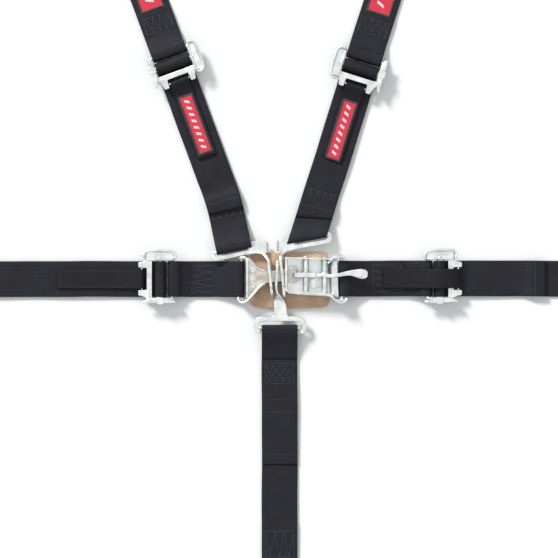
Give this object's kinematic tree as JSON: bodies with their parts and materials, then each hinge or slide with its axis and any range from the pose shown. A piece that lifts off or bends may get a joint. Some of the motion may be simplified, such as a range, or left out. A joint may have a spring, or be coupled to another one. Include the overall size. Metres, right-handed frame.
{
  "type": "racing harness",
  "caption": "Racing harness with shoulder, lap and crotch straps, tilt-lock adjusters and a latch and link buckle on a leather pad.",
  "frame": {"origin": "on the back face of the leather pad, under the middle of the buckle", "axes": "+Z away from the wearer, +Y towards the shoulders, +X towards the latch side"},
  "size_m": [1.207, 1.2621, 0.021],
  "materials": {
    "polyester_webbing": "black woven polyester belt webbing",
    "tab_webbing": "narrow black woven webbing",
    "zinc_steel": "bright zinc-plated stamped steel",
    "bracket_steel": "bright zinc-plated steel plate",
    "suede_leather": "tan split leather, rough side out",
    "red_label": "red woven label with a dark stitched border"
  },
  "bodies": {
    "buckle": {"leather_pad": "suede_leather", "latch_tray": "zinc_steel", "pad_rivets": "zinc_steel", "hook_pin": "zinc_steel", "lever_pin": "zinc_steel", "hook_pin_sleeves": "zinc_steel", "lever_pin_sleeves": "zinc_steel", "leaf_spring": "zinc_steel", "latch_webbing_bar": "zinc_steel"},
    "hook": {"latch_hook": "zinc_steel"},
    "lever": {"latch_lever": "zinc_steel"},
    "link": {"link_tongue": "zinc_steel"},
    "fitting_left": {"shoulder_fitting_left": "zinc_steel"},
    "fitting_right": {"shoulder_fitting_right": "zinc_steel"},
    "fitting_crotch": {"crotch_fitting": "zinc_steel"},
    "loop_left": {"lap_loop_left": "polyester_webbing"},
    "loop_right": {"lap_loop_right": "polyester_webbing"},
    "lap_adjuster_left": {"adjuster_lap_left": "zinc_steel"},
    "lap_slide_left": {"slide_bar_lap_left": "zinc_steel"},
    "lap_tab_left": {"pull_tab_lap_left": "tab_webbing"},
    "lap_belt_left": {"lap_belt_left": "polyester_webbing"},
    "lap_bracket_left": {"bracket_lap_left": "bracket_steel"},
    "lap_adjuster_right": {"adjuster_lap_right": "zinc_steel"},
    "lap_slide_right": {"slide_bar_lap_right": "zinc_steel"},
    "lap_tab_right": {"pull_tab_lap_right": "tab_webbing"},
    "lap_belt_right": {"lap_belt_right": "polyester_webbing"},
    "lap_bracket_right": {"bracket_lap_right": "bracket_steel"},
    "shoulder_belt_left": {"shoulder_lower_left": "polyester_webbing"},
    "shoulder_adjuster_left": {"adjuster_shoulder_left": "zinc_steel"},
    "shoulder_slide_left": {"slide_bar_shoulder_left": "zinc_steel"},
    "shoulder_tab_left": {"pull_tab_shoulder_left": "tab_webbing", "tab_label_left": "red_label"},
    "shoulder_strap_left": {"shoulder_upper_left": "polyester_webbing", "strap_label_left": "red_label"},
    "shoulder_bracket_left": {"bracket_shoulder_left": "bracket_steel"},
    "shoulder_belt_right": {"shoulder_lower_right": "polyester_webbing"},
    "shoulder_adjuster_right": {"adjuster_shoulder_right": "zinc_steel"},
    "shoulder_slide_right": {"slide_bar_shoulder_right": "zinc_steel"},
    "shoulder_tab_right": {"pull_tab_shoulder_right": "tab_webbing", "tab_label_right": "red_label"},
    "shoulder_strap_right": {"shoulder_upper_right": "polyester_webbing", "strap_label_right": "red_label"},
    "shoulder_bracket_right": {"bracket_shoulder_right": "bracket_steel"},
    "crotch_belt": {"crotch_strap": "polyester_webbing"},
    "crotch_bracket": {"bracket_crotch": "bracket_steel"}
  },
  "joints": [
    {"name": "lever_lift", "type": "hinge", "parent": "buckle", "child": "lever", "pos_m": [0.062, 0.007, 0.0135], "axis": [0, -1, 0], "range_deg": [0, 70]},
    {"name": "hook_release", "type": "hinge", "parent": "buckle", "child": "hook", "pos_m": [0.036, 0.007, 0.0135], "axis": [0, 1, 0], "range_deg": [0, 21]},
    {"name": "link_play", "type": "slide", "parent": "buckle", "child": "link", "axis": [-1, 0, 0], "range_m": [0, 0.0012]},
    {"name": "left_fitting_swing", "type": "hinge", "parent": "link", "child": "fitting_left", "pos_m": [0, 0.0063, 0.0135], "axis": [0.9945, 0.1045, 0], "range_deg": [0, 9]},
    {"name": "right_fitting_swing", "type": "hinge", "parent": "link", "child": "fitting_right", "pos_m": [0, 0.0063, 0.0135], "axis": [0.9945, 0.1045, 0], "range_deg": [0, 9]},
    {"name": "crotch_fitting_swing", "type": "hinge", "parent": "link", "child": "fitting_crotch", "pos_m": [0, 0.0063, 0.0135], "axis": [-1, 0, 0], "range_deg": [0, 7]},
    {"name": "left_loop_swing", "type": "hinge", "parent": "link", "child": "loop_left", "pos_m": [-0.0535, 0.0014, 0.01], "axis": [0, -1, 0], "range_deg": [0, 55]},
    {"name": "left_lap_adjuster_tilt", "type": "hinge", "parent": "loop_left", "child": "lap_adjuster_left", "pos_m": [-0.1505, 0.0014, 0.008], "axis": [0, 1, 0], "range_deg": [0, 35]},
    {"name": "left_lap_slide_bar", "type": "slide", "parent": "lap_adjuster_left", "child": "lap_slide_left", "axis": [1, 0, 0], "range_m": [0, 0.0013]},
    {"name": "left_lap_tab_lift", "type": "hinge", "parent": "lap_adjuster_left", "child": "lap_tab_left", "pos_m": [-0.1925, 0.0014, 0.01075], "axis": [0, 1, 0], "range_deg": [0, 110]},
    {"name": "left_lap_belt_swing", "type": "hinge", "parent": "lap_adjuster_left", "child": "lap_belt_left", "pos_m": [-0.1675, 0.0014, 0.008], "axis": [0, -1, 0], "range_deg": [0, 30]},
    {"name": "left_lap_bracket_swing", "type": "hinge", "parent": "lap_belt_left", "child": "lap_bracket_left", "pos_m": [-0.5295, 0.0014, 0.01], "axis": [0, -1, 0], "range_deg": [-60, 60]},
    {"name": "right_loop_swing", "type": "hinge", "parent": "buckle", "child": "loop_right", "pos_m": [0.086, 0.0021, 0.01], "axis": [0, 1, 0], "range_deg": [0, 55]},
    {"name": "right_lap_adjuster_tilt", "type": "hinge", "parent": "loop_right", "child": "lap_adjuster_right", "pos_m": [0.2065, 0.0021, 0.008], "axis": [0, -1, 0], "range_deg": [0, 35]},
    {"name": "right_lap_slide_bar", "type": "slide", "parent": "lap_adjuster_right", "child": "lap_slide_right", "axis": [-1, 0, 0], "range_m": [0, 0.0013]},
    {"name": "right_lap_tab_lift", "type": "hinge", "parent": "lap_adjuster_right", "child": "lap_tab_right", "pos_m": [0.2485, 0.0021, 0.01075], "axis": [0, 1, 0], "range_deg": [0, 140]},
    {"name": "right_lap_belt_swing", "type": "hinge", "parent": "lap_adjuster_right", "child": "lap_belt_right", "pos_m": [0.2235, 0.0021, 0.008], "axis": [0, 1, 0], "range_deg": [0, 30]},
    {"name": "right_lap_bracket_swing", "type": "hinge", "parent": "lap_belt_right", "child": "lap_bracket_right", "pos_m": [0.5855, 0.0021, 0.01], "axis": [0, 1, 0], "range_deg": [-60, 60]},
    {"name": "left_shoulder_belt_swing", "type": "hinge", "parent": "fitting_left", "child": "shoulder_belt_left", "pos_m": [-0.064, 0.0437, 0.01], "axis": [0.9763, 0.2164, 0], "range_deg": [0, 55]},
    {"name": "left_shoulder_adjuster_tilt", "type": "hinge", "parent": "shoulder_belt_left", "child": "shoulder_adjuster_left", "pos_m": [-0.149, 0.301, 0.008], "axis": [-0.9379, -0.3469, 0], "range_deg": [0, 30]},
    {"name": "left_shoulder_slide_bar", "type": "slide", "parent": "shoulder_adjuster_left", "child": "shoulder_slide_left", "axis": [-0.347, 0.9379, 0], "range_m": [0, 0.0013]},
    {"name": "left_shoulder_tab_lift", "type": "hinge", "parent": "shoulder_adjuster_left", "child": "shoulder_tab_left", "pos_m": [-0.14033, 0.27755, 0.01075], "axis": [-0.9379, -0.3469, 0], "range_deg": [0, 110]},
    {"name": "left_shoulder_strap_swing", "type": "hinge", "parent": "shoulder_adjuster_left", "child": "shoulder_strap_left", "pos_m": [-0.1549, 0.31694, 0.008], "axis": [0.9379, 0.3469, 0], "range_deg": [0, 35]},
    {"name": "left_shoulder_bracket_swing", "type": "hinge", "parent": "shoulder_strap_left", "child": "shoulder_bracket_left", "pos_m": [-0.30755, 0.72962, 0.01], "axis": [0.9379, 0.3469, 0], "range_deg": [-60, 60]},
    {"name": "right_shoulder_belt_swing", "type": "hinge", "parent": "fitting_right", "child": "shoulder_belt_right", "pos_m": [0.0383, 0.058, 0.01], "axis": [0.9848, 0.1736, 0], "range_deg": [0, 55]},
    {"name": "right_shoulder_adjuster_tilt", "type": "hinge", "parent": "shoulder_belt_right", "child": "shoulder_adjuster_right", "pos_m": [0.1124, 0.294, 0.008], "axis": [-0.9542, 0.299, 0], "range_deg": [0, 30]},
    {"name": "right_shoulder_slide_bar", "type": "slide", "parent": "shoulder_adjuster_right", "child": "shoulder_slide_right", "axis": [0.2991, 0.9542, 0], "range_m": [0, 0.0013]},
    {"name": "right_shoulder_tab_lift", "type": "hinge", "parent": "shoulder_adjuster_right", "child": "shoulder_tab_right", "pos_m": [0.10492, 0.27014, 0.01075], "axis": [-0.9542, 0.299, 0], "range_deg": [0, 110]},
    {"name": "right_shoulder_strap_swing", "type": "hinge", "parent": "shoulder_adjuster_right", "child": "shoulder_strap_right", "pos_m": [0.11748, 0.31022, 0.008], "axis": [0.9542, -0.299, 0], "range_deg": [0, 35]},
    {"name": "right_shoulder_bracket_swing", "type": "hinge", "parent": "shoulder_strap_right", "child": "shoulder_bracket_right", "pos_m": [0.24906, 0.73009, 0.01], "axis": [0.9542, -0.299, 0], "range_deg": [-60, 60]},
    {"name": "crotch_strap_swing", "type": "hinge", "parent": "fitting_crotch", "child": "crotch_belt", "pos_m": [-0.0005, -0.0665, 0.01], "axis": [-1, 0, 0], "range_deg": [0, 60]},
    {"name": "crotch_bracket_swing", "type": "hinge", "parent": "crotch_belt", "child": "crotch_bracket", "pos_m": [-0.0005, -0.4415, 0.01], "axis": [1, 0, 0], "range_deg": [-60, 60]}
  ],
  "couplings": [
    {"joint": "hook_release", "follows": "lever_lift", "ratio": 0.28},
    {"joint": "right_lap_tab_lift", "follows": "right_lap_adjuster_tilt", "ratio": 4}
  ]
}
